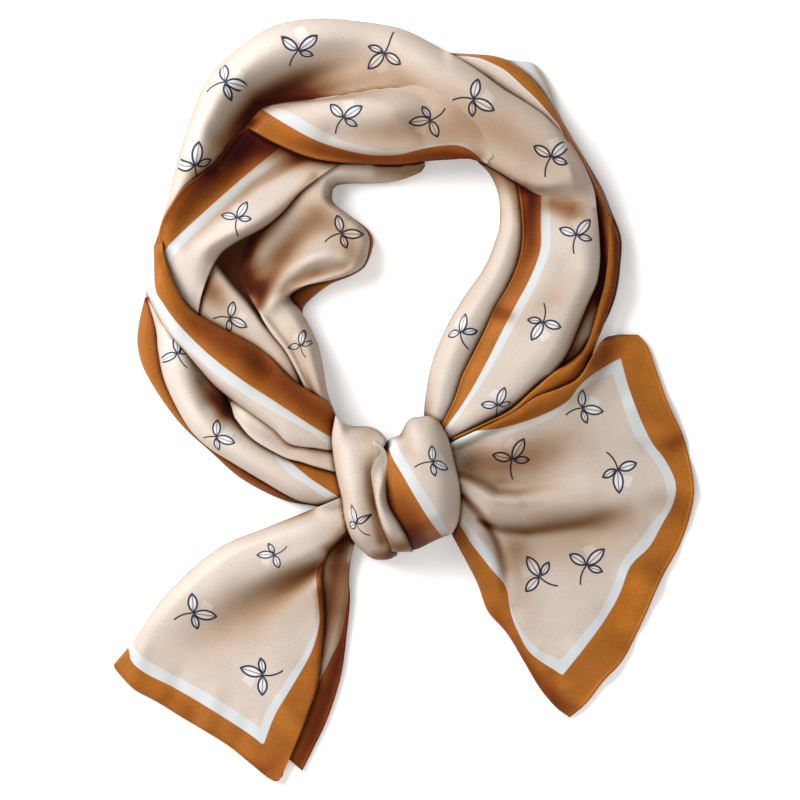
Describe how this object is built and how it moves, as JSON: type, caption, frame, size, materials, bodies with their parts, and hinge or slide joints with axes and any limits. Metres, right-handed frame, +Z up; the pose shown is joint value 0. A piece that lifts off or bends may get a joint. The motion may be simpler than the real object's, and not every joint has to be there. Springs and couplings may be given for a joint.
{
  "type": "ribbon scarf",
  "caption": "Long ribbon scarf of printed satin, wound into a ring and half knotted, lying flat with two flared tails; cream ground and an ochre border.",
  "frame": {"origin": "on the surface the scarf lies on, under the middle of its bounding box", "axes": "+Y from the knot and tails towards the far side of the ring, +Z up away from the surface, +X to the right seen from above with the tails nearest"},
  "size_m": [0.2906, 0.3828, 0.0437],
  "materials": {
    "cream_satin": "satin silk with a fine weave and a printed pattern",
    "ochre_border": "satin silk, printed border",
    "inner_cloth": "satin silk in shade"
  },
  "bodies": {
    "root": {"hidden_layers": "inner_cloth", "outer_left_edge": "ochre_border", "back_right_outer": "ochre_border", "back_right_inner": "ochre_border", "lobe_back_edge": "ochre_border", "big_left_fold": "cream_satin", "second_left_fold": "cream_satin", "inner_left_piece": "cream_satin", "lobe_panel": "cream_satin", "inner_right_tube": "cream_satin", "right_panel": "cream_satin", "main_loop": "cream_satin", "dark_band_roll": "ochre_border", "top_fold": "cream_satin", "left_main_band": "ochre_border", "right_over_fold": "ochre_border", "left_tail_back": "ochre_border", "left_tail_front": "cream_satin", "right_tail": "cream_satin", "knot_right_lobe": "cream_satin", "knot_left_lobe": "cream_satin", "knot_narrow_fold": "cream_satin"}
  },
  "joints": []
}
